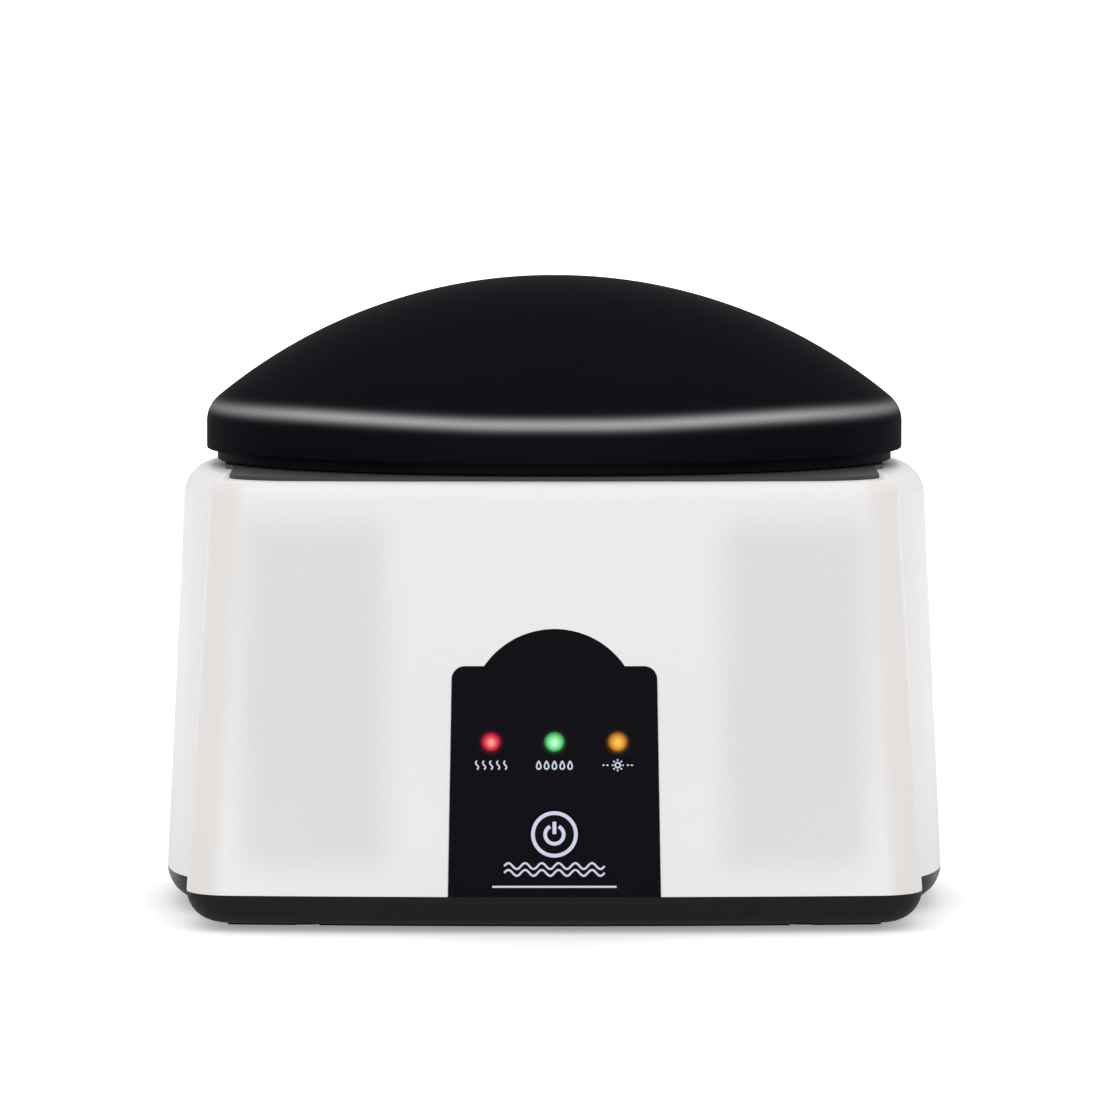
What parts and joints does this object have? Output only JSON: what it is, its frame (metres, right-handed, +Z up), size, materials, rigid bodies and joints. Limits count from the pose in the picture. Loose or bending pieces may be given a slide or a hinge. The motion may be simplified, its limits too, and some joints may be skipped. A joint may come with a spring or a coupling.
{
  "type": "gel polish remover machine",
  "caption": "Table-top finger steamer: white housing, black control plate with three lamps and a power button, heated dish in a tub, hinged domed lid.",
  "frame": {"origin": "centre of the footprint on the resting plane, under the rubber feet", "axes": "+X to the right seen from the front, -Y towards the front face, +Z up"},
  "size_m": [0.2, 0.15, 0.1612],
  "materials": {
    "black_base": "satin",
    "foot_rubber": "matte",
    "screw_steel": "satin",
    "white_housing": "gloss",
    "white_front": "gloss",
    "black_plate": "gloss",
    "red_lens": "gloss",
    "green_lens": "gloss",
    "amber_lens": "gloss",
    "black_button": "gloss",
    "dark_plastic": "matte",
    "board_green": "satin",
    "capacitor_sleeve": "gloss",
    "connector_cream": "matte",
    "red_wire": "gloss",
    "white_wire": "gloss",
    "black_wire": "gloss",
    "grey_tub": "satin",
    "red_silicone": "matte",
    "dish_aluminium": "satin",
    "mica": "satin",
    "fuse_body": "satin",
    "tray_plastic": "satin",
    "black_lid": "gloss",
    "black_liner": "gloss",
    "gasket_rubber": "matte"
  },
  "bodies": {
    "housing": {"base_pan": "black_base", "rubber_feet": "foot_rubber", "base_screws": "screw_steel", "main_shell": "white_housing", "front_panel": "white_front", "control_plate": "black_plate", "heat_lamp": "red_lens", "steam_lamp": "green_lens", "warm_lamp": "amber_lens", "push_switch": "dark_plastic", "control_board": "board_green", "board_screws": "screw_steel", "controller_chip": "dark_plastic", "heater_transistor": "dark_plastic", "smoothing_capacitor": "capacitor_sleeve", "wire_connectors": "connector_cream", "power_inlet": "dark_plastic", "inlet_nut": "screw_steel", "inlet_center_pin": "screw_steel", "power_leads": "red_wire", "heater_leads": "white_wire", "sensor_leads": "black_wire", "steam_tub": "grey_tub", "tub_screws": "screw_steel", "dish_seal": "red_silicone", "remover_dish": "dish_aluminium", "heater_disc": "dish_aluminium", "mica_sheet": "mica", "heater_clamp": "screw_steel", "clamp_screws": "screw_steel", "thermal_fuse": "fuse_body", "temperature_sensor": "dark_plastic", "hinge_pins": "screw_steel"},
    "button": {"power_button": "black_button", "switch_plunger": "dark_plastic"},
    "tray": {"finger_tray": "tray_plastic"},
    "lid": {"lid_dome": "black_lid", "lid_liner": "black_liner", "lid_gasket": "gasket_rubber", "lid_screws": "screw_steel"}
  },
  "joints": [
    {"name": "lid_hinge", "type": "hinge", "parent": "housing", "child": "lid", "pos_m": [0, 0.0675, 0.1185], "axis": [-1, 0, 0], "range_deg": [0, 105]},
    {"name": "power_button_press", "type": "slide", "parent": "housing", "child": "button", "axis": [0, 1, 0], "range_m": [0, 0.0007], "stiffness_N_per_m": 2400},
    {"name": "finger_tray_lift", "type": "slide", "parent": "housing", "child": "tray", "axis": [0, 0, 1], "range_m": [0, 0.02]}
  ]
}
